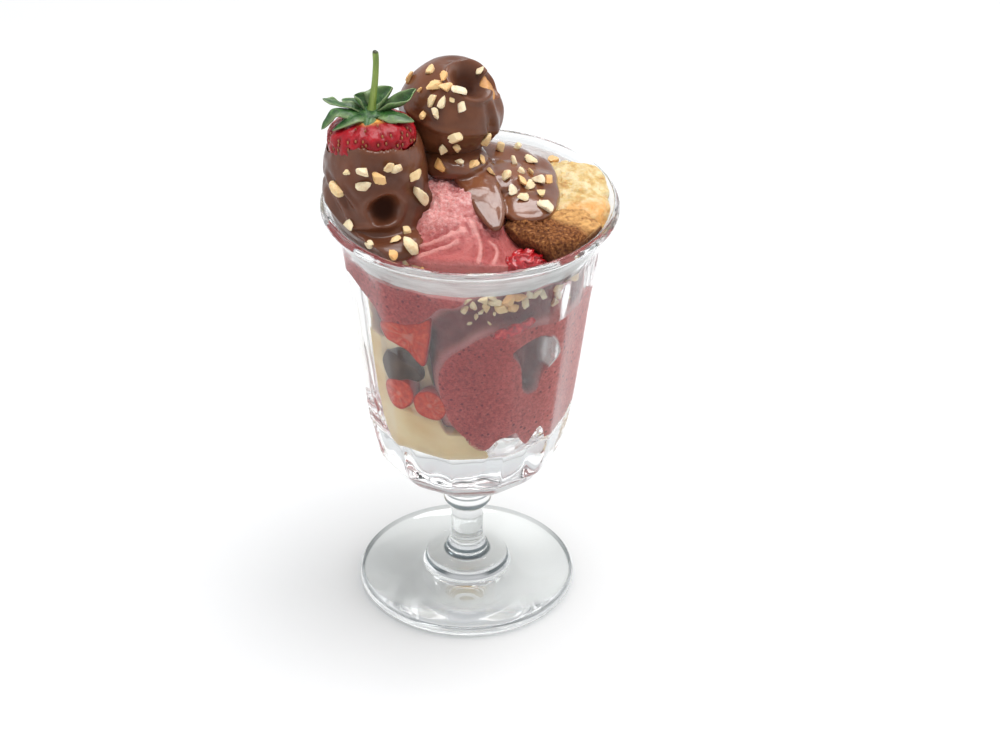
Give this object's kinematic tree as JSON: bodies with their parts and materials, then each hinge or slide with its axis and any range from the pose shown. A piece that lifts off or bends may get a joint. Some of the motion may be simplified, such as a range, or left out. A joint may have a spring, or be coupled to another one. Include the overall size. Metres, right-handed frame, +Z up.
{
  "type": "cheesecake cup",
  "caption": "Footed fluted glass goblet filled with cream, strawberries and strawberry ice cream, topped with a dipped strawberry, a chocolate cream puff, sauce, nuts and cheesecake.",
  "frame": {"origin": "centre of the foot's flat underside, on the axis of the glass", "axes": "+Z up along the glass's axis, -Y towards the front that the picture shows, +X to the right seen from there"},
  "size_m": [0.096, 0.096, 0.2064],
  "materials": {
    "glass": "clear pressed glass, polished, fluted outside and smooth inside",
    "cream_layer": "pale vanilla cream, soft satin",
    "strawberry_ice_cream": "pink strawberry ice cream, granular and moist",
    "berry_wedge": "cut strawberry flesh, wet",
    "berry_half_left": "cut strawberry flesh, wet",
    "berry_half_front": "cut strawberry flesh, wet",
    "berry_rim_piece": "soft dark-red strawberry piece, wet",
    "chocolate_pocket": "dark chocolate sauce, glossy",
    "strawberry": "fresh red strawberry skin with seeds",
    "strawberry_chocolate": "set milk chocolate with chopped nuts, satin gloss",
    "calyx": "green strawberry leaves and stem",
    "cream_puff": "golden baked choux",
    "puff_chocolate": "set milk chocolate with chopped nuts, satin gloss",
    "chocolate_sauce": "poured chocolate sauce with chopped nuts, glossy",
    "cheesecake": "pale yellow baked cheesecake filling",
    "biscuit_base": "golden brown biscuit crumb"
  },
  "bodies": {
    "root": {"glass": "glass", "cream_layer": "cream_layer", "strawberry_ice_cream": "strawberry_ice_cream", "berry_wedge": "berry_wedge", "berry_half_left": "berry_half_left", "berry_half_front": "berry_half_front", "berry_rim_piece": "berry_rim_piece", "chocolate_pocket": "chocolate_pocket", "strawberry": "strawberry", "strawberry_chocolate": "strawberry_chocolate", "calyx": "calyx", "cream_puff": "cream_puff", "puff_chocolate": "puff_chocolate", "chocolate_sauce": "chocolate_sauce", "cheesecake": "cheesecake", "biscuit_base": "biscuit_base"}
  },
  "joints": []
}
